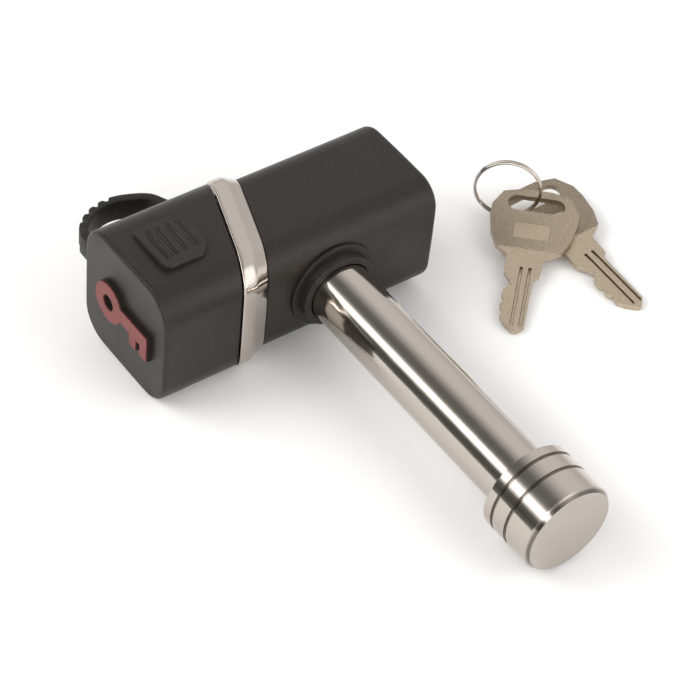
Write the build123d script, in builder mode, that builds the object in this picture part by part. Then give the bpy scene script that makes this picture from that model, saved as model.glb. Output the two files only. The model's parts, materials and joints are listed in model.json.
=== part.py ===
from build123d import *
from math import atan, cos, pi, sin
import os

# Hitch pin lock for a 2 inch receiver, in millimetres.
# The origin is on the pin's axis at the collar's front face.
# The pin points along -Y, the locking head lies along X behind the collar, and +Z is up.

DEGREE = pi / 180

# ---- driving dimensions ----
SHANK_R = 15.875 / 2  # 5/8 inch hitch pin
SHANK_LEN = 69.85  # 2 3/4 inch usable length, collar to knob
HEAD_Y = 19.0  # head's long axis, behind the collar's face
BODY_SIDE = 31.2  # square section of the jacketed body
CAP_SIDE = 34.1  # square section of the dust cap
CORNER_R = 7.0
BODY_CROWN = 0.3  # how far each side bulges at its middle

BODY_END = 30.1  # x of the jacket's closed end
# The joint between cap and body is oblique in plan. These are its x places on the head's axis.
JOINT_SLOPE = 0.348  # x gained for each mm towards the back
BAND_RIGHT = -12.95  # where the chrome band meets the jacket
BAND_CREASE = -16.7
BAND_LEFT = -20.4  # where the band meets the cap
BAND_PROUD = 0.6  # band above the cap's sides
CAP_MOUTH = -20.55
CAP_END = -47.0
JACKET_WALL = 2.0
CAP_WALL = 2.5

CORE_SIDE = BODY_SIDE - 2 * JACKET_WALL - 0.2
CORE_END = BODY_END - JACKET_WALL - 0.1
NOSE_R = 10.0
NOSE_TIP = -28.0
BARREL_R = 8.5
BARREL_BACK = -13.0
BARREL_PIN_X = -24.0
BARREL_PIN_R = 1.0
PLUG_FACE = NOSE_TIP - 0.3
PLUG_R = 6.0
PLUG_HEAD_R = PLUG_R + 0.4
PLUG_HEAD = 1.3
PLUG_TAIL_R = 1.5
PLUG_TAIL = 1.4
KEYWAY = (1.9, 7.6)
KEYWAY_DEEP = 13.6
WAFER_COUNT = 5
WAFER_PITCH = 2.4
WAFER_FIRST_X = -25.6
WAFER_THICK = 1.0
WAFER_WIDE = 4.4
WAFER_HALF_TALL = 5.5
WAFER_SPRING_Y = HEAD_Y + 3.1
WAFER_SPRING_LOW = 0.65
WAFER_SPRING_LEN = 2.45

COLLAR_R = 9.75
COLLAR_FLANGE_R = 11.5
COLLAR_FLANGE = 0.9
COLLAR_BORE_R = 8.15
BODY_FRONT = HEAD_Y - BODY_SIDE / 2
TIP_R = 6.35  # reduced end of the pin inside the head
TIP_CLEAR = 0.25
SPIGOT_R = 6.0  # end of the shank inside the knob
SPIGOT_LEN = 10.0
TIP_END = 30.5
GROOVE_R = 4.5  # latch groove in the tip
GROOVE_Y = 21.55  # middle of the latch groove
GROOVE_WIDE = 3.0
BUSH_R = 7.4
BUSH_BACK = 19.4

CAM_OFFSET = 3.0  # cam peg's distance from the plug's axis
CAM_START = -45.0  # cam peg's angle at rest, from +Y towards +Z
CAM_PEG_R = 1.0
LATCH_TRAVEL = 2 * CAM_OFFSET * sin(45 * DEGREE)
LATCH_THICK = 2.5
LATCH_PLATE = (19.5, 18.9)
LATCH_POCKET = (20.7, 23.9)
CAM_PLATE_R = 5.0
CAM_PLATE = 1.3
CAM_CHAMBER_R = 5.4
CAM_CHAMBER_DEEP = 4.8
CAM_SCREW_R = 0.8

KNOB_R = 11.6
KNOB_LEN = 15.35
KNOB_GROOVES = (2.85, 7.5)  # from the knob's shoulder
KNOB_GROOVE_DEEP = 0.45
KNOB_GROOVE_WIDE = 0.9

STRAP_THICK = 2.3
STRAP_TALL = 7.0
STRAP_Z = 0.3  # middle height of the strap
STRAP_SCREW_X = 0.5
STRAP_PIN_Y = 32.6  # cross pin inside the cap

# The lock rests on a floor that touches the head's bottom front edge and the knob.
FLOOR_SLOPE = 0.0588
FLOOR_ORIGIN = Vector(0, -83.5, -11.6)
FLOOR_ANGLE = atan(FLOOR_SLOPE)
FLOOR_X = Vector(1, 0, 0)
FLOOR_Y = Vector(0, cos(FLOOR_ANGLE), -sin(FLOOR_ANGLE))
FLOOR_UP = Vector(0, sin(FLOOR_ANGLE), cos(FLOOR_ANGLE))

KEY_THICK = 1.4
KEY_SLOT_LEN = 14.4
KEY_SLOT_WIDE = 5.0
RING_R = 8.2  # middle of the ring's wire
RING_WIRE = 0.75
RING_TURNS = 2

os.makedirs("parts", exist_ok=True)


def save(builder, name):
    """Label a finished piece and write its STEP file."""
    builder.part.label = name
    export_step(builder.part, f"parts/{name}.step")


def across(x):
    """The YZ plane at x, with its origin on the head's axis."""
    return Plane(origin=(x, HEAD_Y, 0), x_dir=(0, 1, 0), z_dir=(1, 0, 0))


def facing_pin(y):
    """The XZ plane at y, with its normal along +Y."""
    return Plane(origin=(0, y, 0), x_dir=(1, 0, 0), z_dir=(0, 1, 0))


JOINT_ANGLE = atan(JOINT_SLOPE)


def oblique(x):
    """The cap joint's plane through x on the head's axis, with its normal towards +X."""
    across_dir = (sin(JOINT_ANGLE), cos(JOINT_ANGLE), 0)
    normal = (cos(JOINT_ANGLE), -sin(JOINT_ANGLE), 0)
    return Plane(origin=(x, HEAD_Y, 0), x_dir=across_dir, z_dir=normal)


def crowned_square(side, crown, corner):
    """A square profile whose sides bulge by crown, with rounded corners."""
    half = side / 2
    edge = half - crown
    with BuildSketch() as profile:
        with BuildLine():
            ThreePointArc((-edge, -edge), (0, -half), (edge, -edge))
            ThreePointArc((edge, -edge), (half, 0), (edge, edge))
            ThreePointArc((edge, edge), (0, half), (-edge, edge))
            ThreePointArc((-edge, edge), (-half, 0), (-edge, -edge))
        make_face()
        fillet(profile.vertices(), corner)
    return profile.sketch


def floor_point(u, v, h):
    """A point over the floor: u along X, v behind the knob, h above it."""
    return FLOOR_ORIGIN + FLOOR_X * u + FLOOR_Y * v + FLOOR_UP * h


# ---- the jacketed body ----
with BuildPart() as main_jacket:
    with BuildSketch(across(BAND_LEFT)):
        add(crowned_square(BODY_SIDE, BODY_CROWN, CORNER_R))
    extrude(amount=BODY_END - BAND_LEFT)
    fillet(main_jacket.faces().sort_by(Axis.X)[-1].edges(), 1.4)
    split(bisect_by=oblique(BAND_RIGHT), keep=Keep.TOP)
    fillet(main_jacket.faces().sort_by(Axis.X)[0].edges(), 0.3)
    with BuildSketch(across(BAND_LEFT)):
        RectangleRounded(CORE_SIDE + 0.2, CORE_SIDE + 0.2, CORNER_R - JACKET_WALL)
    extrude(amount=BODY_END - JACKET_WALL - BAND_LEFT, mode=Mode.SUBTRACT)
    with BuildSketch(facing_pin(0)):
        Circle(8.9)
    extrude(amount=HEAD_Y, mode=Mode.SUBTRACT)
    with BuildSketch(facing_pin(HEAD_Y)):
        with Locations((STRAP_SCREW_X, -STRAP_Z)):
            Circle(1.6)
    extrude(amount=HEAD_Y, mode=Mode.SUBTRACT)
save(main_jacket, "main_jacket")


def oblique_section(side, corner):
    """A crowned square along X as the oblique joint plane cuts it."""
    return scale(crowned_square(side, BODY_CROWN, corner), by=(1 / cos(JOINT_ANGLE), 1, 1))


BAND_SIDE = CAP_SIDE + 2 * BAND_PROUD
BAND_CORNER_R = CORNER_R + 1.6
with BuildPart() as chrome_band:
    with BuildSketch(oblique(BAND_LEFT)):
        add(oblique_section(BAND_SIDE - 0.3, CORNER_R + 1.5))
    with BuildSketch(oblique(BAND_LEFT + 0.4)):
        add(oblique_section(BAND_SIDE, BAND_CORNER_R))
    with BuildSketch(oblique(BAND_CREASE)):
        add(oblique_section(BAND_SIDE, BAND_CORNER_R))
    with BuildSketch(oblique(BAND_RIGHT - 0.05)):
        add(oblique_section(BODY_SIDE + 0.5, CORNER_R + 0.2))
    loft(ruled=True)
    with BuildSketch(across(CAP_END)):
        RectangleRounded(CORE_SIDE + 0.2, CORE_SIDE + 0.2, CORNER_R - JACKET_WALL)
    extrude(amount=BODY_END - CAP_END, mode=Mode.SUBTRACT)
save(chrome_band, "chrome_band")

# ---- the die-cast core, split along the head's axis and screwed together ----
CORE_SCREW_PLACES = [(13.5, 9.4), (13.5, -9.4), (23.6, 9.4), (23.6, -9.4)]
CORE_BACK_Y = HEAD_Y + CORE_SIDE / 2
SCREW_SEAT_Y = CORE_BACK_Y - 4.0
CORE_SCREW_R = 1.5
CORE_SCREW_FROM = 11.5  # y of the screws' tips
CORE_SCREW_HEAD_R = 2.7

with BuildPart() as core:
    with BuildSketch(across(NOSE_TIP)):
        RectangleRounded(CORE_SIDE, CORE_SIDE, CORNER_R - JACKET_WALL)
    extrude(amount=CORE_END - NOSE_TIP)
    split(bisect_by=oblique(BAND_LEFT), keep=Keep.TOP)
    with BuildSketch(across(NOSE_TIP + 1.5)):
        Circle(NOSE_R)
    extrude(amount=12.0)
    with BuildSketch(across(NOSE_TIP)):
        Circle(NOSE_R - 1.0)
    extrude(amount=1.5)
    # barrel bore and the chamber that the cam peg turns in
    with BuildSketch(across(NOSE_TIP)):
        Circle(BARREL_R + 0.1)
    extrude(amount=BARREL_BACK + 0.1 - NOSE_TIP, mode=Mode.SUBTRACT)
    with BuildSketch(across(BARREL_BACK)):
        Circle(CAM_CHAMBER_R)
    extrude(amount=CAM_CHAMBER_DEEP, mode=Mode.SUBTRACT)
    # pin bore: wide for the nylon bush, then the tip's own blind bore
    with BuildSketch(facing_pin(0)):
        Circle(BUSH_R + 0.1)
    extrude(amount=BUSH_BACK + 0.1, mode=Mode.SUBTRACT)
    with BuildSketch(facing_pin(0)):
        Circle(TIP_R + TIP_CLEAR)
    extrude(amount=TIP_END + 0.5, mode=Mode.SUBTRACT)
    # pocket for the sliding latch plate
    with BuildSketch(facing_pin(GROOVE_Y - LATCH_THICK / 2 - 0.3)):
        with Locations((-0.85, -0.4)):
            Rectangle(*LATCH_POCKET)
    extrude(amount=LATCH_THICK + 0.6, mode=Mode.SUBTRACT)
    # clamp screws and the strap's screw hole
    with BuildSketch(facing_pin(CORE_SCREW_FROM - 1.0)):
        with Locations(*CORE_SCREW_PLACES):
            Circle(CORE_SCREW_R + 0.05)
    extrude(amount=CORE_BACK_Y - CORE_SCREW_FROM + 1.0, mode=Mode.SUBTRACT)
    with BuildSketch(facing_pin(SCREW_SEAT_Y)):
        with Locations(*CORE_SCREW_PLACES):
            Circle(CORE_SCREW_HEAD_R + 0.2)
    extrude(amount=CORE_BACK_Y - SCREW_SEAT_Y, mode=Mode.SUBTRACT)
    with BuildSketch(facing_pin(CORE_BACK_Y - 1.2)):
        with Locations((STRAP_SCREW_X, -STRAP_Z)):
            Circle(1.35)
    extrude(amount=1.2, mode=Mode.SUBTRACT)
    # radial hole for the pin that holds the barrel
    with BuildSketch(Plane.XY.offset(BARREL_R - 1.0)):
        with Locations((BARREL_PIN_X, HEAD_Y)):
            Circle(BARREL_PIN_R + 0.05)
    extrude(amount=NOSE_R, mode=Mode.SUBTRACT)

with BuildPart() as core_front:
    add(core.part)
    split(bisect_by=Plane(origin=(0, HEAD_Y - 0.01, 0), z_dir=(0, 1, 0)), keep=Keep.BOTTOM)
save(core_front, "core_front")

with BuildPart() as core_back:
    add(core.part)
    split(bisect_by=Plane(origin=(0, HEAD_Y + 0.01, 0), z_dir=(0, 1, 0)), keep=Keep.TOP)
save(core_back, "core_back")

with BuildPart() as core_screws:
    with BuildSketch(facing_pin(CORE_SCREW_FROM)):
        with Locations(*CORE_SCREW_PLACES):
            Circle(CORE_SCREW_R)
    extrude(amount=SCREW_SEAT_Y + 0.05 - CORE_SCREW_FROM)
    with BuildSketch(facing_pin(SCREW_SEAT_Y + 0.05)):
        with Locations(*CORE_SCREW_PLACES):
            Circle(CORE_SCREW_HEAD_R)
    extrude(amount=1.9)
    with BuildSketch(facing_pin(SCREW_SEAT_Y + 0.9)):
        with Locations(*CORE_SCREW_PLACES):
            RegularPolygon(1.4, 6)
    extrude(amount=1.2, mode=Mode.SUBTRACT)
save(core_screws, "core_screws")

# ---- the lock cylinder ----
WAFER_X = [WAFER_FIRST_X + WAFER_PITCH * i for i in range(WAFER_COUNT)]

with BuildPart() as cylinder_barrel:
    with BuildSketch(across(NOSE_TIP)):
        Circle(BARREL_R)
        Circle(PLUG_R + 0.05, mode=Mode.SUBTRACT)
    extrude(amount=BARREL_BACK - NOSE_TIP)
    # counterbore for the plug's head, then four channels for wafers that stand proud
    with BuildSketch(across(NOSE_TIP)):
        Circle(PLUG_HEAD_R + 0.15)
    extrude(amount=1.1, mode=Mode.SUBTRACT)
    with BuildSketch(across(WAFER_X[0] - 1.0)):
        Rectangle(WAFER_WIDE + 0.5, 14.4)
        Rectangle(14.4, WAFER_WIDE + 0.5)
    extrude(amount=WAFER_X[-1] - WAFER_X[0] + 2.0, mode=Mode.SUBTRACT)
    with BuildSketch(Plane.XY.offset(BARREL_R - 1.0)):
        with Locations((BARREL_PIN_X, HEAD_Y)):
            Circle(BARREL_PIN_R + 0.05)
    extrude(amount=1.0, mode=Mode.SUBTRACT)
save(cylinder_barrel, "cylinder_barrel")

with BuildPart() as barrel_pin:
    with BuildSketch(Plane.XY.offset(BARREL_R - 0.9)):
        with Locations((BARREL_PIN_X, HEAD_Y)):
            Circle(BARREL_PIN_R)
    extrude(amount=NOSE_R - BARREL_R + 0.7)
save(barrel_pin, "barrel_pin")

with BuildPart() as bezel:
    with BuildSketch(across(NOSE_TIP - 0.9)):
        Circle(NOSE_R)
        Circle(PLUG_R + 1.2, mode=Mode.SUBTRACT)
    extrude(amount=2.35)
    with BuildSketch(across(NOSE_TIP)):
        Circle(NOSE_R - 0.95)
    extrude(amount=2.0, mode=Mode.SUBTRACT)
    fillet(bezel.faces().sort_by(Axis.X)[0].edges(), 0.35)
save(bezel, "bezel")

with BuildPart() as cylinder_plug:
    with BuildSketch(across(PLUG_FACE)):
        Circle(PLUG_R)
    extrude(amount=BARREL_BACK - PLUG_FACE)
    with BuildSketch(across(PLUG_FACE)):
        Circle(PLUG_HEAD_R)
    extrude(amount=PLUG_HEAD)
    with BuildSketch(across(BARREL_BACK)):
        Circle(PLUG_TAIL_R)
    extrude(amount=PLUG_TAIL)
    # keyway, open at the front face
    with BuildSketch(across(PLUG_FACE)):
        Rectangle(*KEYWAY)
        with Locations((0.9, -1.5)):
            Rectangle(1.0, 0.9)
        with Locations((-0.9, 1.0)):
            Rectangle(1.0, 0.9)
    extrude(amount=KEYWAY_DEEP, mode=Mode.SUBTRACT)
    chamfer(cylinder_plug.faces().sort_by(Axis.X)[0].outer_wire().edges(), 0.3)
    for wafer_x in WAFER_X:
        with BuildSketch(across(wafer_x - WAFER_THICK / 2 - 0.05)):
            Rectangle(WAFER_WIDE + 0.1, 2 * PLUG_R + 1)
            with Locations((3.2, 0.75)):
                Rectangle(2.0, 4.8)
        extrude(amount=WAFER_THICK + 0.1, mode=Mode.SUBTRACT)
    with BuildSketch(across(BARREL_BACK + PLUG_TAIL)):
        Circle(CAM_SCREW_R)
    extrude(amount=-2.4, mode=Mode.SUBTRACT)
save(cylinder_plug, "cylinder_plug")

for index, wafer_x in enumerate(WAFER_X):
    with BuildPart() as wafer:
        with BuildSketch(across(wafer_x - WAFER_THICK / 2)):
            Rectangle(WAFER_WIDE, 2 * WAFER_HALF_TALL)
            with Locations((2.8, 0)):
                Rectangle(1.4, 1.2)
            with Locations((0, 0.35 * (index % 3 - 1))):
                Rectangle(2.4, 6.4, mode=Mode.SUBTRACT)
        extrude(amount=WAFER_THICK)
    save(wafer, f"wafer_{index + 1}")

    with BuildPart() as wafer_spring:
        with BuildSketch(Plane.XY.offset(WAFER_SPRING_LOW)):
            with Locations((wafer_x, WAFER_SPRING_Y)):
                Circle(0.45)
                Circle(0.25, mode=Mode.SUBTRACT)
        extrude(amount=WAFER_SPRING_LEN)
    save(wafer_spring, f"wafer_spring_{index + 1}")

with BuildPart() as cam_tail:
    with BuildSketch(across(BARREL_BACK + PLUG_TAIL - CAM_PLATE)):
        Circle(CAM_PLATE_R)
        Circle(PLUG_TAIL_R, mode=Mode.SUBTRACT)
    extrude(amount=CAM_PLATE)
    with BuildSketch(across(BARREL_BACK + PLUG_TAIL)):
        with PolarLocations(CAM_OFFSET, 1, start_angle=CAM_START):
            Circle(CAM_PEG_R)
    extrude(amount=3.0)
save(cam_tail, "cam_tail")

with BuildPart() as cam_screw:
    with BuildSketch(across(BARREL_BACK + PLUG_TAIL)):
        Circle(PLUG_TAIL_R + 0.3)
    extrude(amount=0.7)
    with BuildSketch(across(BARREL_BACK + PLUG_TAIL)):
        Circle(CAM_SCREW_R)
    extrude(amount=-2.3)
    with BuildSketch(across(BARREL_BACK + PLUG_TAIL + 0.4)):
        Rectangle(0.4, 3.6)
    extrude(amount=0.3, mode=Mode.SUBTRACT)
save(cam_screw, "cam_screw")

# ---- the latch plate: a keyhole that drops over the groove in the pin's tip ----
with BuildPart() as latch_yoke:
    with BuildSketch(facing_pin(GROOVE_Y - LATCH_THICK / 2)):
        with Locations((-0.75, 1.45)):
            RectangleRounded(*LATCH_PLATE, 3.0)
        Circle(TIP_R + TIP_CLEAR, mode=Mode.SUBTRACT)
        # in this sketch +Y points down, so the narrow end is at +LATCH_TRAVEL
        with Locations((0, LATCH_TRAVEL)):
            Circle(GROOVE_R + 0.2, mode=Mode.SUBTRACT)
        with Locations((-9.4, LATCH_TRAVEL / 2)):
            Rectangle(2.2, 2 * CAM_PEG_R + 0.4, mode=Mode.SUBTRACT)
    extrude(amount=LATCH_THICK)
save(latch_yoke, "latch_yoke")

# ---- collar, seal, bush and pin ----
with BuildPart() as pin_collar:
    with BuildSketch(Plane.XY):
        with BuildLine():
            Polyline(
                (COLLAR_BORE_R, 0),
                (COLLAR_R, 0),
                (COLLAR_R, BODY_FRONT - COLLAR_FLANGE),
                (COLLAR_FLANGE_R, BODY_FRONT - COLLAR_FLANGE),
                (COLLAR_FLANGE_R, BODY_FRONT),
                (8.85, BODY_FRONT),
                (8.85, BODY_FRONT + 1.9),
                (COLLAR_BORE_R, BODY_FRONT + 1.9),
                close=True,
            )
        make_face()
    revolve(axis=Axis.Y)
    round_edges = pin_collar.edges().filter_by(GeomType.CIRCLE)
    fillet(round_edges.group_by(Axis.Y)[0].sort_by(SortBy.RADIUS)[-1], 0.5)
    fillet(round_edges.group_by(Axis.Y)[1].sort_by(SortBy.RADIUS)[-1], 0.3)
save(pin_collar, "pin_collar")

with BuildPart() as bore_o_ring:
    with BuildSketch(Plane.XY):
        with Locations((7.26, 4.45)):
            Circle(0.84)
    revolve(axis=Axis.Y)
save(bore_o_ring, "bore_o_ring")

with BuildPart() as pin_bush:
    with BuildSketch(facing_pin(5.6)):
        Circle(BUSH_R)
        Circle(TIP_R + 0.08, mode=Mode.SUBTRACT)
    extrude(amount=BUSH_BACK - 5.6)
save(pin_bush, "pin_bush")

with BuildPart() as pin_shank:
    with BuildSketch(Plane.XY):
        with BuildLine():
            Polyline(
                (0, -SHANK_LEN - SPIGOT_LEN),
                (SPIGOT_R, -SHANK_LEN - SPIGOT_LEN),
                (SPIGOT_R, -SHANK_LEN),
                (SHANK_R, -SHANK_LEN),
                (SHANK_R, 0.1),
                (TIP_R, 1.7),
                (TIP_R, GROOVE_Y - GROOVE_WIDE / 2),
                (GROOVE_R, GROOVE_Y - GROOVE_WIDE / 2),
                (GROOVE_R, GROOVE_Y + GROOVE_WIDE / 2),
                (TIP_R, GROOVE_Y + GROOVE_WIDE / 2),
                (TIP_R, TIP_END - 1.5),
                (TIP_R - 1.5, TIP_END),
                (0, TIP_END),
                close=True,
            )
        make_face()
    revolve(axis=Axis.Y)
save(pin_shank, "pin_shank")

KNOB_FACE = -SHANK_LEN - KNOB_LEN
with BuildPart() as pin_knob:
    with BuildSketch(facing_pin(KNOB_FACE)):
        Circle(KNOB_R)
    extrude(amount=KNOB_LEN)
    knob_rims = pin_knob.edges().filter_by(GeomType.CIRCLE).sort_by(Axis.Y)
    chamfer(knob_rims[0], length=1.15, length2=0.8)
    fillet(pin_knob.edges().filter_by(GeomType.CIRCLE).sort_by(Axis.Y)[-1], 0.3)
    for groove in KNOB_GROOVES:
        with BuildSketch(facing_pin(-SHANK_LEN - groove - KNOB_GROOVE_WIDE / 2)):
            Circle(KNOB_R + 1)
            Circle(KNOB_R - KNOB_GROOVE_DEEP, mode=Mode.SUBTRACT)
        extrude(amount=KNOB_GROOVE_WIDE, mode=Mode.SUBTRACT)
    with BuildSketch(facing_pin(-SHANK_LEN)):
        Circle(SPIGOT_R)
    extrude(amount=-SPIGOT_LEN, mode=Mode.SUBTRACT)
save(pin_knob, "pin_knob")

# ---- dust cap, its grip pad, badge and gasket ----
STRAP_SLOT_X = -42.4
with BuildPart() as dust_cap:
    with BuildSketch(across(CAP_END)):
        add(crowned_square(CAP_SIDE, BODY_CROWN, CORNER_R + 1.0))
    extrude(amount=-CAP_END)
    fillet(dust_cap.faces().sort_by(Axis.X)[0].edges(), 1.0)
    split(bisect_by=oblique(CAP_MOUTH), keep=Keep.BOTTOM)
    fillet(dust_cap.faces().sort_by(Axis.X)[-1].edges(), 0.3)
    with BuildSketch(across(CAP_END + CAP_WALL)):
        RectangleRounded(CAP_SIDE - 2 * CAP_WALL, CAP_SIDE - 2 * CAP_WALL, CORNER_R - 1.5)
    extrude(amount=-CAP_END, mode=Mode.SUBTRACT)
    with BuildSketch(facing_pin(HEAD_Y + 10)):
        with Locations((STRAP_SLOT_X, -STRAP_Z)):
            Rectangle(STRAP_THICK + 0.2, STRAP_TALL + 0.2)
    extrude(amount=10, mode=Mode.SUBTRACT)
save(dust_cap, "dust_cap")

PAD_LEFT = -41.1
PAD_RIGHT = -27.3
PAD_HALF = 7.3
PAD_Y = HEAD_Y + 0.1
PAD_HIGH = 1.2
PAD_BASE = CAP_SIDE / 2 + 0.02
PAD_RIBS = (-38.5, -36.0, -33.2, -30.2)
with BuildPart() as cap_grip_pad:
    with BuildSketch(Plane.XZ.offset(-PAD_Y - PAD_HALF)):
        with BuildLine():
            Polyline(
                (PAD_LEFT, PAD_BASE),
                (PAD_RIGHT, PAD_BASE),
                (PAD_RIGHT, PAD_BASE + 0.25),
                (PAD_LEFT + 0.6, PAD_BASE + PAD_HIGH),
                (PAD_LEFT, PAD_BASE + PAD_HIGH - 0.5),
                close=True,
            )
        make_face()
    extrude(amount=2 * PAD_HALF)
    # round the far end into an arch
    with BuildSketch(Plane.XY.offset(PAD_BASE)):
        with BuildLine():
            Line((PAD_LEFT, PAD_Y - PAD_HALF), (PAD_RIGHT - 3.2, PAD_Y - PAD_HALF))
            ThreePointArc(
                (PAD_RIGHT - 3.2, PAD_Y - PAD_HALF),
                (PAD_RIGHT, PAD_Y),
                (PAD_RIGHT - 3.2, PAD_Y + PAD_HALF),
            )
            Line((PAD_RIGHT - 3.2, PAD_Y + PAD_HALF), (PAD_LEFT, PAD_Y + PAD_HALF))
            Line((PAD_LEFT, PAD_Y + PAD_HALF), (PAD_LEFT, PAD_Y - PAD_HALF))
        make_face()
    extrude(amount=3, mode=Mode.INTERSECT)
    for rib_x in PAD_RIBS:
        rise = PAD_HIGH * (PAD_RIGHT - rib_x) / (PAD_RIGHT - PAD_LEFT)
        with BuildSketch(Plane.XY.offset(PAD_BASE)):
            with Locations((rib_x, PAD_Y)):
                SlotOverall(10.5, 1.0, rotation=90)
        extrude(amount=rise + 0.75)
save(cap_grip_pad, "cap_grip_pad")

BADGE_HIGH = 1.1
BADGE_FACE = Plane(origin=(CAP_END, HEAD_Y - 0.5, 0.9), x_dir=(0, -1, 0), z_dir=(-1, 0, 0))


def key_pictogram(inset):
    """A plain bold key sign: a round bow, a shaft and two teeth, in the open sketch."""
    with Locations((-5.3, 0)):
        Circle(5.5 - inset)
    with Locations((4.0, 0)):
        Rectangle(13.8 - 2 * inset, 4.2 - 2 * inset)
    for tooth_x in (5.1, 9.45):
        with Locations((tooth_x, -3.1)):
            Rectangle(2.9 - 2 * inset, 4.6 - 2 * inset)
    with Locations((-5.3, 0)):
        Circle(2.0 + inset, mode=Mode.SUBTRACT)


with BuildPart() as badge_plinth:
    with BuildSketch(BADGE_FACE):
        key_pictogram(0)
    extrude(amount=BADGE_HIGH)
save(badge_plinth, "badge_plinth")

with BuildPart() as badge_inlay:
    with BuildSketch(BADGE_FACE.offset(BADGE_HIGH)):
        key_pictogram(0.15)
    extrude(amount=0.3)
save(badge_inlay, "badge_inlay")

with BuildPart() as cap_gasket:
    with BuildSketch(across(CAP_END)):
        RectangleRounded(28.0, 28.0, 5.2)
        Circle(NOSE_R + 0.1, mode=Mode.SUBTRACT)
    extrude(amount=-CAP_END)
    split(bisect_by=oblique(BAND_LEFT - 1.5), keep=Keep.TOP)
    split(bisect_by=oblique(BAND_LEFT), keep=Keep.BOTTOM)
save(cap_gasket, "cap_gasket")

# ---- the rubber tether that holds the cap to the body ----
STRAP_ROUTE = [
    (5.0, BODY_FRONT + BODY_SIDE + 0.05 + STRAP_THICK / 2),
    (-5.0, BODY_FRONT + BODY_SIDE + 0.05 + STRAP_THICK / 2),
    (-9.5, 38.3),
    (-16.5, 38.8),
    (-20.4, 42.6),
    (-21.9, 47.4),
    (-30.8, 50.8),
    (-37.5, 49.3),
    (-42.8, 45.0),
    (STRAP_SLOT_X, 40.0),
    (STRAP_SLOT_X, STRAP_PIN_Y),
]
with BuildPart() as tether_strap:
    with BuildSketch(Plane.XY.offset(STRAP_Z - STRAP_TALL / 2)):
        with BuildLine() as strap_line:
            FilletPolyline(*STRAP_ROUTE, radius=1.6)
        trace(strap_line.line, STRAP_THICK)
    extrude(amount=STRAP_TALL)
    with BuildSketch(facing_pin(HEAD_Y + 10)):
        with Locations((STRAP_SCREW_X, -STRAP_Z)):
            Circle(1.6)
    extrude(amount=10, mode=Mode.SUBTRACT)
    with BuildSketch(Plane.XY.offset(-10)):
        with Locations((STRAP_SLOT_X, STRAP_PIN_Y)):
            Circle(0.75)
    extrude(amount=20, mode=Mode.SUBTRACT)
save(tether_strap, "tether_strap")

with BuildPart() as strap_screw:
    with BuildSketch(facing_pin(CORE_BACK_Y - 1.1)):
        with Locations((STRAP_SCREW_X, -STRAP_Z)):
            Circle(1.3)
    extrude(amount=STRAP_ROUTE[0][1] + STRAP_THICK / 2 + 0.05 - CORE_BACK_Y + 1.1)
    with BuildSketch(facing_pin(STRAP_ROUTE[0][1] + STRAP_THICK / 2 + 0.05)):
        with Locations((STRAP_SCREW_X, -STRAP_Z)):
            Circle(2.6)
    extrude(amount=1.3, taper=12)
    with BuildSketch(facing_pin(STRAP_ROUTE[0][1] + STRAP_THICK / 2 + 0.75)):
        with Locations((STRAP_SCREW_X, -STRAP_Z)):
            Rectangle(3.6, 0.6)
            Rectangle(0.6, 3.6)
    extrude(amount=1.0, mode=Mode.SUBTRACT)
save(strap_screw, "strap_screw")

with BuildPart() as strap_pin:
    with BuildSketch(Plane.XY.offset(STRAP_Z - 4.6)):
        with Locations((STRAP_SLOT_X, STRAP_PIN_Y)):
            Circle(0.7)
    extrude(amount=9.2)
save(strap_pin, "strap_pin")

# ---- split ring and two keys, lying beside the lock on the floor ----
RING_TILT = 88.6 * DEGREE  # the ring stands on edge, propped in the keys' slots
RING_UPHILL = 47.3 * DEGREE  # direction of the ring's high side, from +X towards the head
RING_LOW = 0.46  # height of the wire's middle at its lowest point
RING_CENTRE = (62.68, 98.07)

ring_level = FLOOR_X * cos(RING_UPHILL) + FLOOR_Y * sin(RING_UPHILL)
ring_side = FLOOR_Y * cos(RING_UPHILL) - FLOOR_X * sin(RING_UPHILL)
ring_up = ring_level * cos(RING_TILT) + FLOOR_UP * sin(RING_TILT)
ring_plane = Plane(
    origin=floor_point(*RING_CENTRE, RING_LOW + RING_R * sin(RING_TILT)),
    x_dir=ring_up,
    z_dir=ring_up.cross(ring_side),
)

with BuildPart() as split_ring:
    with BuildSketch(ring_plane.offset(-RING_TURNS * RING_WIRE / 2)):
        Circle(RING_R + RING_WIRE / 2)
        Circle(RING_R - RING_WIRE / 2, mode=Mode.SUBTRACT)
    extrude(amount=RING_TURNS * RING_WIRE)
    fillet(split_ring.edges(), 0.28)
save(split_ring, "split_ring")

# Blank outline, x towards the tip from the ring slot's middle, y across.
KEY_BOW = [(-5.0, 3.6), (-3.4, 8.6), (1.4, 10.9), (5.2, 10.9), (10.8, 10.0), (15.2, 8.2)]
KEY_CUTS = [
    (23.9, -5.0),
    (25.8, -3.4),
    (27.7, -2.7),
    (29.9, -4.3),
    (31.6, -4.5),
    (33.0, -3.8),
    (35.0, -4.5),
    (36.4, -3.7),
    (38.6, -4.0),
    (40.4, -2.8),
    (42.6, -0.6),
    (42.6, 0.4),
    (40.6, 2.2),
    (24.9, 2.4),
    (23.9, 3.8),
]
KEY_OUTLINE = (
    [(x, -y) for x, y in KEY_BOW]
    + [(17.9, -5.0)]
    + KEY_CUTS
    + [(17.9, 4.2)]
    + KEY_BOW[::-1]
)


def key_plane(slot, tip, roll):
    """The key's top plane: its origin at the slot's middle, x towards the tip."""
    along = (floor_point(*tip) - floor_point(*slot)).normalized()
    level = FLOOR_UP.cross(along).normalized()
    side = level.rotate(Axis((0, 0, 0), along), roll)
    return Plane(origin=floor_point(*slot), x_dir=along, z_dir=along.cross(side))


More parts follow.
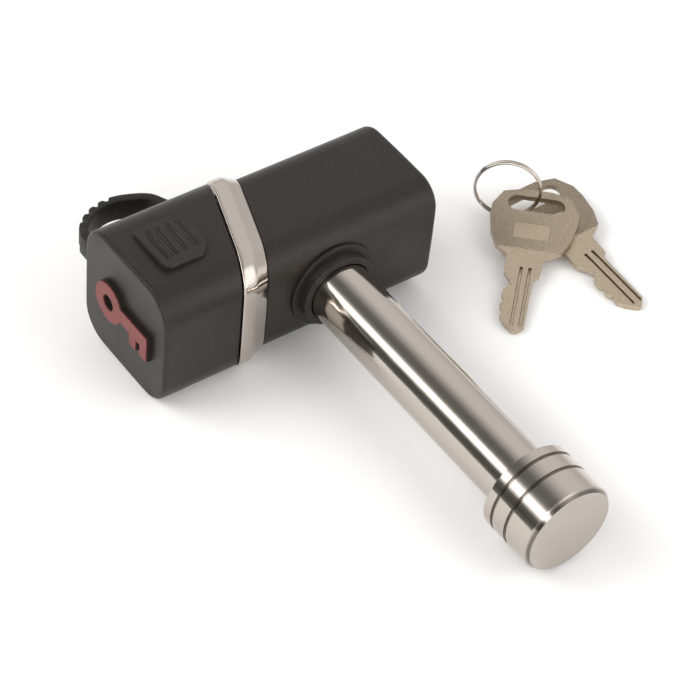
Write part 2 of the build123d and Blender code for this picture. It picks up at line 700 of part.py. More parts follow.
def key_blank(plane):
    """A cut key under its top plane: bow, slot, blade and two milled grooves."""
    with BuildPart() as blank:
        with BuildSketch(plane):
            with BuildLine():
                Polyline(*KEY_OUTLINE, close=True)
            make_face()
            SlotOverall(KEY_SLOT_LEN, KEY_SLOT_WIDE, rotation=90, mode=Mode.SUBTRACT)
        extrude(amount=-KEY_THICK)
        for groove_y in (-0.9, 1.2):
            with BuildSketch(plane):
                with Locations((31.4, groove_y)):
                    SlotOverall(19.6, 0.8)
            extrude(amount=-0.45, mode=Mode.SUBTRACT)
    return blank


KEY_A_PLANE = key_plane((67.25, 91.9, 5.75), (37.2, 62.4, 1.6), 0.0)
KEY_B_PLANE = key_plane((69.4, 94.9, 4.47), (68.3, 53.9, 1.6), 3.9)

key_a = key_blank(KEY_A_PLANE)
save(key_a, "key_a")

key_b = key_blank(KEY_B_PLANE)
save(key_b, "key_b")
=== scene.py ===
import json
import math

import bpy
import numpy as np
from mathutils import Matrix, Vector


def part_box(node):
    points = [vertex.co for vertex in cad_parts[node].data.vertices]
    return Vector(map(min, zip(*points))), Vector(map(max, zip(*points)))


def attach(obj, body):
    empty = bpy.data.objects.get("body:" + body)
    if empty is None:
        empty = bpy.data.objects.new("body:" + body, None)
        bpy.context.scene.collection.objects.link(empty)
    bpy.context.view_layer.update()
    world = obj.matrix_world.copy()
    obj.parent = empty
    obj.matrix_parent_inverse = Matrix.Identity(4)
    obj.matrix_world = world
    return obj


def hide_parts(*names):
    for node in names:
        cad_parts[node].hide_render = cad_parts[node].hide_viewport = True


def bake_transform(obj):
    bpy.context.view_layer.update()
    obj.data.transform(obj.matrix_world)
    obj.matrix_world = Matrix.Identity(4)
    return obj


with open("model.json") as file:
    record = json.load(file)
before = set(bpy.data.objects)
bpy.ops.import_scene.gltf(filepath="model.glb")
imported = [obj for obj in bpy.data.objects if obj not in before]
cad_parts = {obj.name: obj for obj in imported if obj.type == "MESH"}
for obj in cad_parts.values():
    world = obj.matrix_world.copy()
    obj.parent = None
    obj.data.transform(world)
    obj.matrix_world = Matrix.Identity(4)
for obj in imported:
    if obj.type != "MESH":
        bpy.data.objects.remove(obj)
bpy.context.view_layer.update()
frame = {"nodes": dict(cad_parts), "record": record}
NODES = frame["nodes"]
MM = 0.001

# ---- driving sizes, in mm, the same as the CAD's where a piece is rebuilt ----
HEAD_Y = 19.0
BODY_SIDE = 31.2
CAP_SIDE = 34.1
CROWN = 0.3
CORNER_R = 7.0
CORE_SIDE = 27.0
JOINT_SLOPE = 0.348
BAND_LEFT = -20.4
BAND_CREASE = -16.7
BAND_RIGHT = -13.0
BAND_SIDE = 35.3
FLOOR_ORIGIN = Vector((0, -83.5, -11.6))
FLOOR_ANGLE = math.atan(0.0588)
FLOOR_X = Vector((1, 0, 0))
FLOOR_Y = Vector((0, math.cos(FLOOR_ANGLE), -math.sin(FLOOR_ANGLE)))
FLOOR_UP = Vector((0, math.sin(FLOOR_ANGLE), math.cos(FLOOR_ANGLE)))


def floor_point(u, v, h):
    """A point over the floor: u along X, v behind the knob, h above it."""
    return FLOOR_ORIGIN + FLOOR_X * u + FLOOR_Y * v + FLOOR_UP * h


# ---- camera ----
camera_data = bpy.data.cameras.new("camera")
camera_data.lens = 135.65
camera_data.sensor_width = 36.0
camera_data.clip_start = 0.01
camera = bpy.data.objects.new("camera", camera_data)
camera.location = (-0.27975, -0.33592, 0.42856)
camera.rotation_euler = [math.radians(angle) for angle in (44.149, -4.565, -35.602)]
bpy.context.scene.collection.objects.link(camera)
bpy.context.scene.camera = camera
bpy.context.scene.view_settings.view_transform = "Standard"

# ---- light ----
KEY_POWER = 3.2
FILL_POWER = 1.4
FRONT_BOOST = 2.2  # the studio is brighter behind the camera


def softbox(name, place, size, power, colour):
    """A soft rectangular light aimed at the head, unseen in the chrome."""
    data = bpy.data.lights.new(name, "AREA")
    data.shape = "RECTANGLE"
    data.size, data.size_y = size
    data.energy = power
    data.color = colour
    lamp = bpy.data.objects.new(name, data)
    lamp.location = place
    lamp.rotation_euler = (-Vector(place)).to_track_quat("-Z", "Y").to_euler()
    lamp.visible_glossy = False
    bpy.context.scene.collection.objects.link(lamp)


softbox("key_softbox", (-0.45, 0.35, 0.60), (0.6, 0.6), KEY_POWER, (1.0, 0.99, 0.97))
softbox("fill_softbox", (0.35, -0.55, 0.55), (0.6, 0.6), FILL_POWER, (1.0, 1.0, 1.0))

# Brightness of the studio by direction, as an angle about the pin's axis: 0 is overhead, 90 is towards +X.
# A strip light stands at -45, with dark gaps on both sides of it, and a white wall at the right.
STUDIO = [
    (-180, 0.95),
    (-101, 0.80),
    (-92, 0.26),
    (-80, 0.10),
    (-66, 0.16),
    (-60, 1.3),
    (-56, 3.2),
    (-44, 3.2),
    (-39, 0.9),
    (-33, 0.30),
    (-24, 0.20),
    (-10, 0.22),
    (2, 0.46),
    (14, 0.74),
    (26, 0.93),
    (58, 0.93),
    (78, 0.76),
    (92, 0.80),
    (180, 0.95),
]


def studio_world():
    """A world whose brightness follows STUDIO, for long reflections in the chrome."""
    world = bpy.data.worlds.new("studio")
    world.use_nodes = True
    nodes, links = world.node_tree.nodes, world.node_tree.links
    nodes.clear()
    out = nodes.new("ShaderNodeOutputWorld")
    back = nodes.new("ShaderNodeBackground")
    coords = nodes.new("ShaderNodeTexCoord")
    split = nodes.new("ShaderNodeSeparateXYZ")
    angle = nodes.new("ShaderNodeMath")
    angle.operation = "ARCTAN2"
    turn = nodes.new("ShaderNodeMapRange")
    turn.inputs["From Min"].default_value = -math.pi
    turn.inputs["From Max"].default_value = math.pi
    curve = nodes.new("ShaderNodeFloatCurve")
    points = curve.mapping.curves[0].points
    brightest = max(value for _, value in STUDIO)
    while len(points) < len(STUDIO):
        points.new(0.5, 0.5)
    for point, (degrees, value) in zip(points, STUDIO):
        point.location = ((degrees + 180) / 360, value / brightest)
        point.handle_type = "VECTOR"
    curve.mapping.update()
    links.new(coords.outputs["Generated"], split.inputs[0])
    links.new(split.outputs["X"], angle.inputs[0])
    links.new(split.outputs["Z"], angle.inputs[1])
    links.new(angle.outputs[0], turn.inputs["Value"])
    links.new(turn.outputs["Result"], curve.inputs["Value"])
    front = nodes.new("ShaderNodeMapRange")
    front.inputs["From Min"].default_value = -0.48
    front.inputs["From Max"].default_value = -0.66
    front.inputs["To Min"].default_value = 1.0
    front.inputs["To Max"].default_value = FRONT_BOOST
    links.new(split.outputs["Y"], front.inputs["Value"])
    strength = nodes.new("ShaderNodeMath")
    strength.operation = "MULTIPLY"
    links.new(curve.outputs[0], strength.inputs[0])
    links.new(front.outputs["Result"], strength.inputs[1])
    links.new(strength.outputs[0], back.inputs["Strength"])
    back.inputs["Color"].default_value = (brightest, brightest * 0.99, brightest * 0.975, 1)
    links.new(back.outputs[0], out.inputs["Surface"])
    bpy.context.scene.world = world


studio_world()


# ---- materials ----
def principled(name, colour, roughness, metallic=0.0):
    """A material with a Principled shader, and the object's own coordinates in metres."""
    mat = bpy.data.materials.new(name)
    mat.use_nodes = True
    nodes, links = mat.node_tree.nodes, mat.node_tree.links
    shader = nodes["Principled BSDF"]
    shader.inputs["Base Color"].default_value = (*colour, 1)
    shader.inputs["Roughness"].default_value = roughness
    shader.inputs["Metallic"].default_value = metallic
    coords = nodes.new("ShaderNodeTexCoord")
    return mat, nodes, links, shader, coords


def math_node(nodes, links, operation, *values):
    """One Math node. Each value is a number or a socket."""
    node = nodes.new("ShaderNodeMath")
    node.operation = operation
    for socket, value in zip(node.inputs, values):
        if isinstance(value, (int, float)):
            socket.default_value = value
        else:
            links.new(value, socket)
    return node.outputs[0]


def noise(nodes, links, vector, scale, detail=4.0, rough=0.55, stretch=(1, 1, 1)):
    """A noise texture, optionally stretched along the object's axes."""
    mapping = nodes.new("ShaderNodeMapping")
    mapping.inputs["Scale"].default_value = stretch
    links.new(vector, mapping.inputs["Vector"])
    tex = nodes.new("ShaderNodeTexNoise")
    tex.inputs["Scale"].default_value = scale
    tex.inputs["Detail"].default_value = detail
    tex.inputs["Roughness"].default_value = rough
    links.new(mapping.outputs["Vector"], tex.inputs["Vector"])
    return tex.outputs["Fac"]


def vary(nodes, links, value, low, high, start=0.3, end=0.7):
    """A number from low to high, as a texture's value goes from start to end."""
    remap = nodes.new("ShaderNodeMapRange")
    remap.inputs["From Min"].default_value = start
    remap.inputs["From Max"].default_value = end
    remap.inputs["To Min"].default_value = low
    remap.inputs["To Max"].default_value = high
    links.new(value, remap.inputs["Value"])
    return remap.outputs["Result"]


def two_tone(nodes, links, value, first, second):
    """A colour between two, each a triple or a socket, by a value from 0 to 1."""
    mix = nodes.new("ShaderNodeMix")
    mix.data_type = "RGBA"
    for socket, colour in ((mix.inputs["A"], first), (mix.inputs["B"], second)):
        if isinstance(colour, tuple):
            socket.default_value = (*colour, 1)
        else:
            links.new(colour, socket)
    links.new(value, mix.inputs["Factor"])
    return mix.outputs["Result"]


def bump(nodes, links, shader, height, distance, strength=1.0, after=None):
    """Adds relief of the given depth in metres, on top of an earlier one."""
    node = nodes.new("ShaderNodeBump")
    node.inputs["Distance"].default_value = distance
    node.inputs["Strength"].default_value = strength
    links.new(height, node.inputs["Height"])
    if after:
        links.new(after, node.inputs["Normal"])
    links.new(node.outputs["Normal"], shader.inputs["Normal"])
    return node.outputs["Normal"]


def shade(colour, factor):
    """A colour made darker or lighter."""
    return tuple(part * factor for part in colour)


def moulded_plastic(name, colour, roughness, grain=2300, depth=0.00008, specular=0.3):
    """Matte moulded plastic: spark-eroded grain, pale dust specks and faintly rubbed patches."""
    mat, nodes, links, shader, coords = principled(name, colour, roughness)
    shader.inputs["Specular IOR Level"].default_value = specular
    vector = coords.outputs["Object"]
    fine = noise(nodes, links, vector, grain, 2, 0.7)
    speckle = two_tone(nodes, links, vary(nodes, links, fine, 0, 1, 0.35, 0.65),
                       shade(colour, 0.72), shade(colour, 1.28))
    dust = vary(nodes, links, noise(nodes, links, vector, 1500, 3, 0.6), 0, 1, 0.68, 0.78)
    links.new(two_tone(nodes, links, dust, speckle, shade(colour, 2.4)), shader.inputs["Base Color"])
    rubbed = noise(nodes, links, vector, 120, 5)
    links.new(vary(nodes, links, rubbed, roughness - 0.05, roughness + 0.06), shader.inputs["Roughness"])
    bump(nodes, links, shader, fine, depth)
    return mat


GROOVE_FLOOR = 0.01118  # radius in the knob's grooves, in metres


def polished_chrome(name, roughness=0.07, scratch_along=(1, 1, 1), satin_end=False):
    """Chrome plate with hairline scratches, handling haze and a slightly uneven polish."""
    tint = (0.53, 0.485, 0.44)
    mat, nodes, links, shader, coords = principled(name, tint, roughness, 1.0)
    vector = coords.outputs["Object"]
    haze = noise(nodes, links, vector, 150, 6, 0.6)
    rough = vary(nodes, links, haze, roughness, roughness + 0.07, 0.42, 0.72)
    cloud = noise(nodes, links, vector, 70, 4)
    links.new(two_tone(nodes, links, cloud, shade(tint, 1.04), shade(tint, 0.94)),
              shader.inputs["Base Color"])
    wave = bump(nodes, links, shader, noise(nodes, links, vector, 60, 2), 0.00012, 0.5)
    hair = noise(nodes, links, vector, 1400, 3, 0.75, scratch_along)
    last = bump(nodes, links, shader, hair, 0.000012, 0.6, wave)
    if satin_end:
        # turned marks in rings about the pin's axis, on the faces that look along it
        split = nodes.new("ShaderNodeSeparateXYZ")
        links.new(coords.outputs["Normal"], split.inputs[0])
        facing = math_node(nodes, links, "ABSOLUTE", split.outputs["Y"])
        end_face = vary(nodes, links, facing, 0, 1, 0.85, 0.98)
        flat = nodes.new("ShaderNodeVectorMath")
        flat.operation = "MULTIPLY"
        flat.inputs[1].default_value = (1, 0, 1)
        links.new(vector, flat.inputs[0])
        radius = nodes.new("ShaderNodeVectorMath")
        radius.operation = "LENGTH"
        links.new(flat.outputs[0], radius.inputs[0])
        rings = nodes.new("ShaderNodeTexNoise")
        rings.noise_dimensions = "1D"
        rings.inputs["Scale"].default_value = 3200
        rings.inputs["Detail"].default_value = 3
        links.new(radius.outputs["Value"], rings.inputs["W"])
        marks = math_node(nodes, links, "MULTIPLY", rings.outputs["Fac"], end_face)
        bump(nodes, links, shader, marks, 0.000012, 0.7, last)
        # painted shade: the two turned grooves, which are the only places inside the knob's rim, are coloured
        # near black
        sunk = vary(nodes, links, radius.outputs["Value"], 0.8, 0, GROOVE_FLOOR, GROOVE_FLOOR + 0.0003)
        side_only = math_node(nodes, links, "SUBTRACT", 1.0, end_face)
        groove_shade = math_node(nodes, links, "MULTIPLY", sunk, side_only)
        base = two_tone(nodes, links, cloud, shade(tint, 1.04), shade(tint, 0.94))
        links.new(two_tone(nodes, links, groove_shade, base, (0.10, 0.09, 0.08)), shader.inputs["Base Color"])
        satin = math_node(nodes, links, "MULTIPLY", end_face, 0.26)
        rough = math_node(nodes, links, "ADD", rough, satin)
    links.new(rough, shader.inputs["Roughness"])
    return mat


def plated_metal(name, tint, roughness, grain=1800, depth=0.00003):
    """Plate over a cast, turned or stamped surface, with small stains."""
    mat, nodes, links, shader, coords = principled(name, tint, roughness, 1.0)
    vector = coords.outputs["Object"]
    patch = noise(nodes, links, vector, 420, 6, 0.65)
    links.new(vary(nodes, links, patch, roughness - 0.08, roughness + 0.12), shader.inputs["Roughness"])
    links.new(two_tone(nodes, links, vary(nodes, links, patch, 0, 1), shade(tint, 0.78), tint),
              shader.inputs["Base Color"])
    bump(nodes, links, shader, noise(nodes, links, vector, grain, 3), depth)
    return mat


KEY_GROOVES = (-0.9, 1.2)  # across the blade


def key_metal(name, origin, along, top):
    """Nickel-plated brass of a key, in its own frame: knurled bow, smooth panel, painted shade in the grooves and
    the knurl's furrows.
    """
    tint = (0.56, 0.465, 0.355)
    mat, nodes, links, shader, coords = principled(name, tint, 0.33, 1.0)
    side = top.cross(along)
    turn = Matrix((along, side, top)).transposed().to_euler()
    place = nodes.new("ShaderNodeMapping")
    place.vector_type = "TEXTURE"
    place.inputs["Location"].default_value = origin * MM
    place.inputs["Rotation"].default_value = turn
    place.inputs["Scale"].default_value = (MM, MM, MM)
    links.new(coords.outputs["Object"], place.inputs["Vector"])
    local = place.outputs["Vector"]
    split = nodes.new("ShaderNodeSeparateXYZ")
    links.new(local, split.inputs[0])
    x, y = split.outputs["X"], split.outputs["Y"]

    def inside(value, middle, half, soft=0.12):
        away = math_node(nodes, links, "ABSOLUTE", math_node(nodes, links, "SUBTRACT", value, middle))
        return vary(nodes, links, away, 1, 0, half - soft, half + soft)

    # crossed furrows at 30 degrees to the key, over the bow but not the panel
    furrows = []
    for lean in (0.55, -0.55):
        phase = math_node(nodes, links, "MULTIPLY_ADD", y, lean, x)
        furrows.append(math_node(nodes, links, "PINGPONG", phase, 0.31))
    diamonds = math_node(nodes, links, "MINIMUM", *furrows)
    face = vary(nodes, links, split.outputs["Z"], 0, 1, -0.3, -0.15)
    bow = math_node(nodes, links, "MULTIPLY", inside(x, 5.2, 10.4), face)
    panel = math_node(nodes, links, "MULTIPLY", inside(x, 9.3, 2.6), inside(y, 0, 4.4))
    bare = math_node(nodes, links, "SUBTRACT", 1.0, panel)
    knurl = math_node(nodes, links, "MULTIPLY", math_node(nodes, links, "MULTIPLY", diamonds, bow), bare)
    first = bump(nodes, links, shader, knurl, 0.0009, 0.9)
    second = bump(nodes, links, shader, panel, 0.00012, 0.8, first)
    hair = noise(nodes, links, local, 2.2, 5, 0.7)
    bump(nodes, links, shader, hair, 0.00004, 0.7, second)
    stain = vary(nodes, links, noise(nodes, links, local, 1.3, 6, 0.7), 0, 1, 0.3, 0.75)
    worn = two_tone(nodes, links, stain, shade(tint, 1.06), shade(tint, 0.78))
    # painted shade: the knurl's furrows are darkened
    knurl_shade = vary(nodes, links, diamonds, 0.6, 0, 0.02, 0.14)
    knurl_shade = math_node(nodes, links, "MULTIPLY", math_node(nodes, links, "MULTIPLY", knurl_shade, bow), bare)
    # painted shade darkens the corners of the milled grooves, most of all at their blind end
    groove_edge_shades = []
    for groove in KEY_GROOVES:
        off = math_node(nodes, links, "ABSOLUTE", math_node(nodes, links, "SUBTRACT", y, groove))
        groove_edge_shades.append(inside(off, 0.40, 0.14, 0.06))
    corners = math_node(nodes, links, "MAXIMUM", *groove_edge_shades)
    blind = vary(nodes, links, x, 1, 0.0, 21.5, 24.5)
    near = math_node(nodes, links, "MAXIMUM", *[inside(y, groove, 0.42, 0.05) for groove in KEY_GROOVES])
    corners = math_node(nodes, links, "MAXIMUM", corners, math_node(nodes, links, "MULTIPLY", near, blind))
    corners = math_node(nodes, links, "MULTIPLY", corners, inside(x, 31.4, 9.8, 0.1))
    sunk = vary(nodes, links, split.outputs["Z"], 0.85, 0, -0.12, -0.02)
    painted_groove_shade = math_node(nodes, links, "MAXIMUM", knurl_shade, math_node(nodes, links, "MULTIPLY", corners, sunk))
    # the near-black colour in the grooves and furrows is painted shade
    links.new(two_tone(nodes, links, painted_groove_shade, worn, (0.085, 0.06, 0.04)), shader.inputs["Base Color"])
    links.new(vary(nodes, links, stain, 0.27, 0.42, 0, 1), shader.inputs["Roughness"])
    return mat


def key_frame(slot, tip, roll):
    """The place and directions of a key's top: its slot's middle, towards its tip, and up from its face."""
    origin = floor_point(*slot)
    along = (floor_point(*tip) - origin).normalized()
    side = FLOOR_UP.cross(along).normalized()
    side.rotate(Matrix.Rotation(math.radians(roll), 3, along))
    return origin, along, along.cross(side)


KEY_A = key_frame((67.25, 91.9, 5.75), (37.2, 62.4, 1.6), 0.0)
KEY_B = key_frame((69.4, 94.9, 4.47), (68.3, 53.9, 1.6), 3.9)

MATERIALS = {
    "black_plastic": moulded_plastic("black_plastic", (0.0175, 0.0136, 0.011), 0.35),
    "black_rubber": moulded_plastic("black_rubber", (0.0165, 0.0138, 0.0118), 0.48, 1900),
    "red_inlay": moulded_plastic("red_inlay", (0.185, 0.050, 0.047), 0.5, 1800, 0.00004),
    "chrome": polished_chrome("chrome"),
    "zinc": plated_metal("zinc", (0.40, 0.40, 0.39), 0.5),
    "steel": plated_metal("steel", (0.42, 0.38, 0.34), 0.20),
    "brass": plated_metal("brass", (0.60, 0.44, 0.20), 0.34),
    "nylon": moulded_plastic("nylon", (0.62, 0.58, 0.50), 0.45, 900),
    "nickel_key": key_metal("nickel_key_a", *KEY_A),
    "ring_steel": polished_chrome("ring_steel", 0.12),
}
SHANK_CHROME = polished_chrome("chrome_shank", 0.085, (1, 0.05, 1))
KNOB_CHROME = polished_chrome("chrome_knob", 0.085, (0.2, 1, 0.2), satin_end=True)
OWN_MATERIAL = {
    "pin_shank": SHANK_CHROME,
    "pin_knob": KNOB_CHROME,
    "key_b": key_metal("nickel_key_b", *KEY_B),
}
node_slot = {row["node"]: row["material_slot"] for row in frame["record"]["subparts"]}
for name, obj in NODES.items():
    obj.data.materials.clear()
    obj.data.materials.append(OWN_MATERIAL.get(name, MATERIALS[node_slot[name]]))


# ---- edges of the CAD pieces ----
def soften(name, width, angle=35):
    """Rounds a CAD node's sharp edges by width mm, so that they catch the light."""
    bevel = NODES[name].modifiers.new("soft_edges", "BEVEL")
    bevel.width = width * MM
    bevel.segments = 2
    bevel.limit_method = "ANGLE"
    bevel.angle_limit = math.radians(angle)
    bevel.harden_normals = True
    bevel.use_clamp_overlap = True


EDGE_WIDTHS = {"key_a": 0.13, "key_b": 0.13, "badge_plinth": 0.1, "badge_inlay": 0.06, "pin_collar": 0.12,
               "bezel": 0.12, "pin_knob": 0.06}
for node, width in EDGE_WIDTHS.items():
    soften(node, width)


# ---- meshes built here, in mm ----
def new_piece(name, points, faces, material, body, *replaced, slot=None):
    """A mesh piece on a body, with its points in mm. Its slot argument is not used."""
    mesh = bpy.data.meshes.new(name)
    mesh.from_pydata([Vector(p) * MM for p in points], [], faces)
    mesh.validate()
    for polygon in mesh.polygons:
        polygon.use_smooth = True
    mesh.materials.append(MATERIALS[material])
    obj = bpy.data.objects.new(name, mesh)
    bpy.context.scene.collection.objects.link(obj)
    if body:
        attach(obj, body)
    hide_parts(*replaced)
    return obj


def loops(rings, closed):
    """Faces between equal rings of points, capped at both ends unless the rings close on themselves."""
    size, count = len(rings[0]), len(rings)
    faces = []
    for ring in range(count if closed else count - 1):
        low, high = ring * size, (ring + 1) % count * size
        for k in range(size):
            after = (k + 1) % size
            faces.append((low + k, low + after, high + after, high + k))
    if not closed:
        faces.append(tuple(reversed(range(size))))
        faces.append(tuple(range((count - 1) * size, count * size)))
    return [point for ring in rings for point in ring], faces


def crowned_square(side, corner, crown=CROWN, steps=14):
    """Points round a square whose sides bulge and whose corners are round."""
    edge = side / 2 - crown
    points = []
    for quarter in range(4):
        turn = quarter * math.pi / 2
        straight = [(edge, (edge - corner) * (2 * k / steps - 1)) for k in range(steps)]
        arc = [(edge - corner + corner * math.cos(a), edge - corner + corner * math.sin(a))
               for a in (math.pi / 2 * k / steps for k in range(steps))]
        for u, v in straight + arc:
            bulge_u = 1 + crown / edge * (1 - (v / edge) ** 2)
            bulge_v = 1 + crown / edge * (1 - (u / edge) ** 2)
            u, v = u * bulge_u, v * bulge_v
            points.append((u * math.cos(turn) - v * math.sin(turn), u * math.sin(turn) + v * math.cos(turn)))
    return points


def oblique_ring(x, side, corner, crown=CROWN):
    """A section of the head on the cap joint's slanted plane."""
    return [(x + JOINT_SLOPE * y, HEAD_Y + y, z) for y, z in crowned_square(side, corner, crown)]


# the band: a rolled lip at the cap, a nearly flat half, a soft crease and a slope down to the jacket
BAND_PROFILE = [
    (BAND_LEFT + 0.35, 33.6),
    (BAND_LEFT + 0.16, 34.3),
    (BAND_LEFT + 0.1, 34.75),
    (BAND_LEFT + 0.18, 35.05),
    (BAND_LEFT + 0.45, BAND_SIDE - 0.05),
    (BAND_LEFT + 1.2, BAND_SIDE),
    (BAND_LEFT + 2.6, BAND_SIDE),
    (BAND_CREASE - 0.5, BAND_SIDE - 0.04),
    (BAND_CREASE, BAND_SIDE - 0.25),
    (BAND_CREASE + 0.6, BAND_SIDE - 0.75),
    (BAND_CREASE + 1.6, BAND_SIDE - 1.75),
    (BAND_RIGHT - 0.7, BODY_SIDE + 1.15),
    (BAND_RIGHT - 0.25, BODY_SIDE + 0.75),
    (BAND_RIGHT - 0.03, BODY_SIDE + 0.45),
    (BAND_RIGHT, BODY_SIDE + 0.1),
]
band_rings = []
for x, side in BAND_PROFILE:
    band_rings.append(oblique_ring(x, side, CORNER_R + 1.5 - 1.3 * (BAND_SIDE - side) / 4))
for x in (BAND_RIGHT, BAND_LEFT + 0.35):
    band_rings.append(oblique_ring(x, CORE_SIDE + 0.2, CORNER_R - 2.0, 0))
new_piece("trim_band", *loops(band_rings, closed=True), "chrome", "housing", "chrome_band")


# ---- the tether: a moulded rubber ribbon with grip notches round its bend ----
STRAP_THICK = 2.3
STRAP_TALL = 6.2
STRAP_Z = 0.7
STRAP_ROUTE = [
    (5.0, 35.8),
    (-5.0, 35.8),
    (-9.5, 38.0),
    (-16.5, 39.0),
    (-20.4, 42.6),
    (-22.4, 47.2),
    (-30.8, 50.6),
    (-37.5, 49.3),
    (-42.4, 45.0),
    (-42.4, 40.0),
    (-42.4, 31.6),
]
NOTCH_START = 40.5  # length along the strap, from its screwed end
NOTCH_STEP = 2.9
NOTCHES = 5
NOTCH_DEEP = 0.85


def rounded(route, passes=3):
    """The route with its corners cut again and again, which rounds them evenly."""
    for _ in range(passes):
        cut = [route[0]]
        for a, b in zip(route, route[1:]):
            a, b = Vector(a), Vector(b)
            cut += [a * 0.78 + b * 0.22, a * 0.22 + b * 0.78]
        route = cut + [route[-1]]
    return [Vector(p) for p in route]


def evenly(points, step):
    """The same line with a point every step."""
    places = [0.0]
    for a, b in zip(points, points[1:]):
        places.append(places[-1] + (b - a).length)
    wanted = np.linspace(0, places[-1], int(places[-1] / step) + 1)
    axes = [np.interp(wanted, places, [p[k] for p in points]) for k in range(len(points[0]))]
    return [Vector(p) for p in zip(*axes)], wanted


def strap_section(thin_out):
    """Half-round edged rectangle, as offsets from the centreline: outward, and up."""
    inner, outer, tall, edge = -STRAP_THICK / 2, STRAP_THICK / 2 - thin_out, STRAP_TALL / 2, 0.45
    corners = [(outer, tall), (inner, tall), (inner, -tall), (outer, -tall)]
    section = []
    for k, (out, up) in enumerate(corners):
        start = math.pi / 2 * k
        middle = (out - math.copysign(edge, out - (inner + outer) / 2), up - math.copysign(edge, up))
        for part in range(4):
            a = start + math.pi / 2 * part / 3
            section.append((middle[0] + edge * math.cos(a), middle[1] + edge * math.sin(a)))
    return section


line, lengths = evenly(rounded(STRAP_ROUTE), 0.2)
strap_rings = []
for k, (point, length) in enumerate(zip(line, lengths)):
    ahead = line[min(k + 1, len(line) - 1)] - line[max(k - 1, 0)]
    outward = Vector((ahead.y, -ahead.x)).normalized() * -1
    along_notches = (length - NOTCH_START) / NOTCH_STEP
    thin = 0.0
    if 0 <= along_notches < NOTCHES:
        part = along_notches % 1.0
        thin = NOTCH_DEEP * min(1.0, max(0.0, (0.5 - abs(part - 0.5)) * 6 - 1.2))
    ring = []
    for out, up in strap_section(thin):
        ring.append((point.x - outward.x * out, point.y - outward.y * out, STRAP_Z + up))
    strap_rings.append(ring)
strap = new_piece("rubber_tether", *loops(strap_rings, closed=False), "black_rubber", None, "tether_strap")
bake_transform(strap)


# ---- the grip pad: a raised shield with four finger flutes ----
PAD_LEFT, PAD_RIGHT = -41.1, -27.3
PAD_Y, PAD_HALF = 19.1, 7.3
PAD_BASE = 17.07
PAD_HIGH = 1.45
PAD_FLUTES = (-38.35, -35.75, -33.1, -30.4)
PAD_FLUTE_DEEP = 0.62  # share of the pad's height
PAD_FLUTE_HALF = 0.95
PAD_CORNER_R = 1.6
PAD_POINT = 3.4  # how far the shield's right side draws in at its corners
PAD_EDGE = 0.16
PAD_SUNK = 0.6
PAD_STEPS = 110


def pad_height(x, y, edge):
    """How high the pad stands, from its place and its distance to its outline."""
    slope = (x - PAD_LEFT) / (PAD_RIGHT - PAD_LEFT)
    back = max(0.0, (y - PAD_Y + PAD_HALF) / (2 * PAD_HALF))
    high = PAD_HIGH * (1 - 0.5 * slope) * (1 - 0.5 * back ** 1.5)
    round_edge = min(1.0, max(0.0, edge / PAD_EDGE))
    high *= math.sqrt(max(0.0, 1 - (1 - round_edge) ** 2))
    for middle in PAD_FLUTES:
        across = abs(x - middle) / PAD_FLUTE_HALF
        front = y - (PAD_Y - PAD_HALF + 1.7 + 0.12 * (x - PAD_LEFT))
        end = PAD_Y + PAD_HALF - 1.3 - 0.1 * abs(x - PAD_FLUTES[2]) - y
        ends = min(1.0, max(0.0, front / 0.7)) * min(1.0, max(0.0, end / 1.6))
        if across < 1:
            high *= 1 - PAD_FLUTE_DEEP * (1 - across ** 2) ** 0.8 * ends
    return high


top, under = [], []
for row in range(PAD_STEPS + 1):
    y = PAD_Y + PAD_HALF * (2 * row / PAD_STEPS - 1)
    off_middle = abs(y - PAD_Y)
    corner = max(0.0, off_middle - (PAD_HALF - PAD_CORNER_R))
    left = PAD_LEFT + PAD_CORNER_R - math.sqrt(max(0.0, PAD_CORNER_R ** 2 - corner ** 2))
    right = PAD_RIGHT - PAD_POINT * (off_middle / PAD_HALF) ** 2.4
    for column in range(PAD_STEPS + 1):
        x = left + (right - left) * column / PAD_STEPS
        edge = min(x - left, right - x, PAD_HALF - off_middle)
        crown_drop = CROWN * ((y - HEAD_Y) / (CAP_SIDE / 2)) ** 2
        top.append((x, y, PAD_BASE - crown_drop + pad_height(x, y, edge)))
        under.append((x, y, PAD_BASE - PAD_SUNK))
size = PAD_STEPS + 1
pad_faces = []
for row in range(PAD_STEPS):
    for column in range(PAD_STEPS):
        a = row * size + column
        quad = (a, a + 1, a + size + 1, a + size)
        pad_faces.append(quad)
        pad_faces.append(tuple(size * size + k for k in reversed(quad)))
rim = list(range(size)) + [size * k - 1 for k in range(2, size + 1)]
rim += [size * size - k for k in range(2, size + 1)] + [size * k for k in range(size - 2, 0, -1)]
for a, b in zip(rim, rim[1:] + rim[:1]):
    pad_faces.append((a, size * size + a, size * size + b, b))
new_piece("thumb_pad", top + under, pad_faces, "black_plastic", "cap", "cap_grip_pad")


# ---- wire pieces ----
def wire(points, radius, sides=10, flat=1.0):
    """Rings of points round a line, for a wire of that radius."""
    rings = []
    side = None
    for k, point in enumerate(points):
        ahead = (points[min(k + 1, len(points) - 1)] - points[max(k - 1, 0)]).normalized()
        if side is None:
            side = ahead.orthogonal().normalized()
        side = (side - ahead * side.dot(ahead)).normalized()
        other = ahead.cross(side)
        ring = []
        for part in range(sides):
            a = 2 * math.pi * part / sides
            ring.append(point + side * (radius * math.cos(a)) + other * (radius * flat * math.sin(a)))
        rings.append(ring)
    return rings


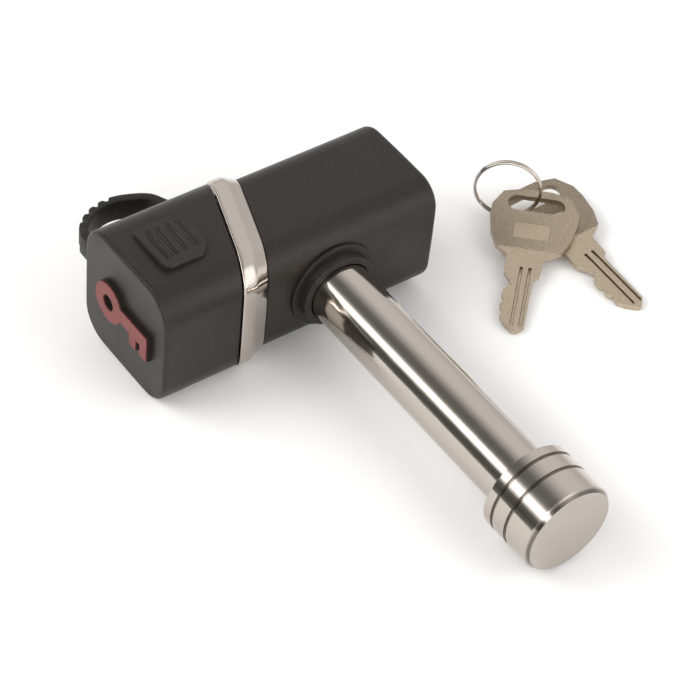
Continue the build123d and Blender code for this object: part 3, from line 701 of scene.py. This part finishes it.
RING_R = 8.2
RING_WIRE = 0.75
RING_TILT = math.radians(88.6)
RING_UPHILL = math.radians(47.3)
RING_LOW = 0.46  # height of the ring's lowest centre line over the floor
RING_CENTRE = floor_point(62.68, 98.07, RING_LOW + RING_R * math.sin(RING_TILT))
RING_TURNS = 2.0
RING_POINTS = 240
RING_START = 2.2  # where on the ring its wire begins, in radians
RING_STEP_AT, RING_STEP_OVER = 0.96, 0.08  # in turns
level = FLOOR_X * math.cos(RING_UPHILL) + FLOOR_Y * math.sin(RING_UPHILL)
ring_side = FLOOR_Y * math.cos(RING_UPHILL) - FLOOR_X * math.sin(RING_UPHILL)
ring_up = level * math.cos(RING_TILT) + FLOOR_UP * math.sin(RING_TILT)
ring_axis = ring_up.cross(ring_side)
coil = []
for k in range(RING_POINTS + 1):
    turns = RING_TURNS * k / RING_POINTS
    angle = 2 * math.pi * turns + RING_START
    # the wire steps from one turn to the next over a short stretch
    step = min(1.0, max(0.0, (turns - RING_STEP_AT) / RING_STEP_OVER))
    lift = RING_WIRE * (step * step * (3 - 2 * step) - 0.5)
    coil.append(RING_CENTRE + ring_up * (RING_R * math.cos(angle)) + ring_side * (RING_R * math.sin(angle))
                + ring_axis * lift)
new_piece("key_ring_coil", *loops(wire(coil, RING_WIRE / 2, 12), closed=False), "ring_steel", "ring",
          "split_ring", slot="steel")

# the helix of each wafer's spring stays between its CAD tube's ends
SPRING_TURNS = 6
TURN_POINTS = 16
SPRING_R = 0.37
SPRING_WIRE_R = 0.08
for number in range(1, 6):
    node = f"wafer_spring_{number}"
    low, high = (Vector(corner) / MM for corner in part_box(node))
    centre = (low + high) / 2
    helix = []
    for k in range(SPRING_TURNS * TURN_POINTS + 1):
        angle = 2 * math.pi * k / TURN_POINTS
        climb = (high.z - low.z - 2 * SPRING_WIRE_R) * k / (SPRING_TURNS * TURN_POINTS)
        rise = low.z + SPRING_WIRE_R + climb
        helix.append(Vector((centre.x + SPRING_R * math.cos(angle), centre.y + SPRING_R * math.sin(angle), rise)))
    spring = new_piece(f"wafer_coil_{number}", *loops(wire(helix, SPRING_WIRE_R, 6), closed=False), "steel",
                       None, node)
    # the top end stays with the plug and the lower end follows its wafer
    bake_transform(spring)

# ---- floor ----
FLOOR_SIDE = 3.0  # in metres
FLOOR_GAP = 0.02
bpy.ops.mesh.primitive_plane_add(size=FLOOR_SIDE, location=(FLOOR_ORIGIN - FLOOR_UP * FLOOR_GAP) * MM)
floor = bpy.context.object
floor.name = "floor"
floor.rotation_euler = (-FLOOR_ANGLE, 0, 0)
floor.data.materials.append(principled("pale_floor", (0.86, 0.86, 0.86), 0.8)[0])
